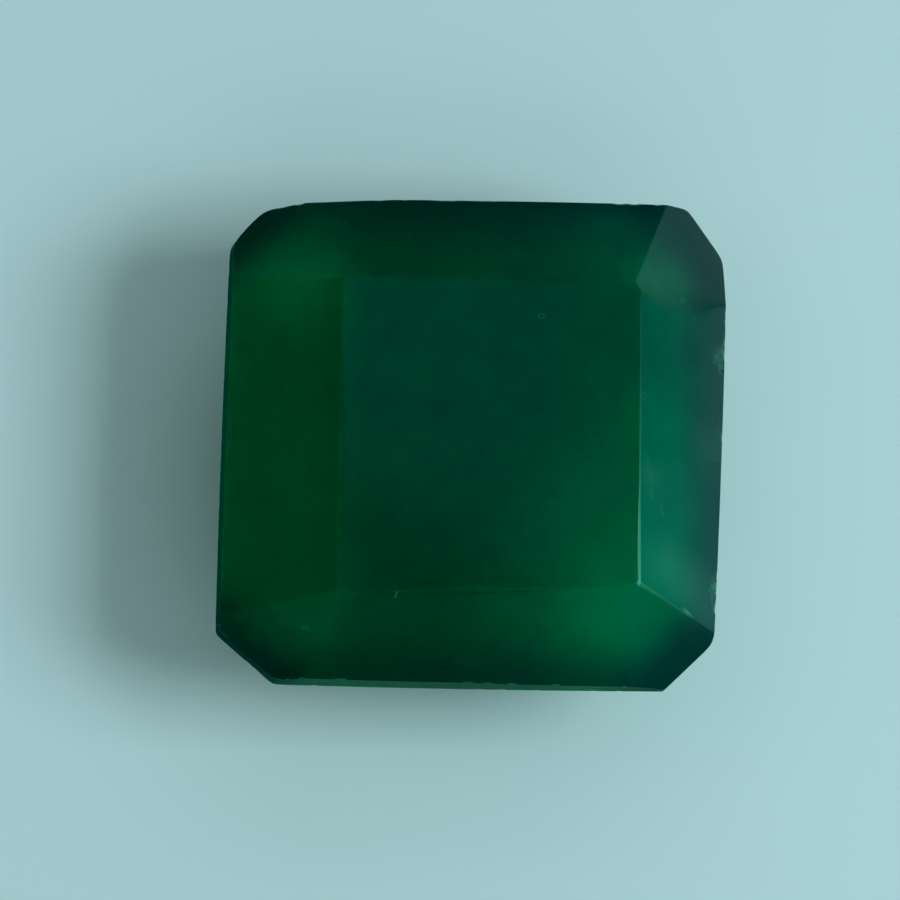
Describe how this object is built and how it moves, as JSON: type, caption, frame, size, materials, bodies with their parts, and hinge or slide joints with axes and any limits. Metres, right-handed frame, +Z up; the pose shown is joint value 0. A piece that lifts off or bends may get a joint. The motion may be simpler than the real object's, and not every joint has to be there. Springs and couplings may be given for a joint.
{
  "type": "faceted onyx gemstone",
  "caption": "Polished green onyx cut as a square with clipped corners: a wide flat table, a high crown, a narrow girdle and a stepped pavilion, ready to set or display.",
  "frame": {"origin": "middle of the bounding box's underside, on the small flat culet that the stone stands on", "axes": "+Z up and square to the table, +X to the stone's right side and +Y to its upper side as it is seen from above"},
  "size_m": [0.0162, 0.0154, 0.0087],
  "materials": {
    "onyx": "polished"
  },
  "bodies": {
    "root": {"onyx_stone": "onyx"}
  },
  "joints": []
}
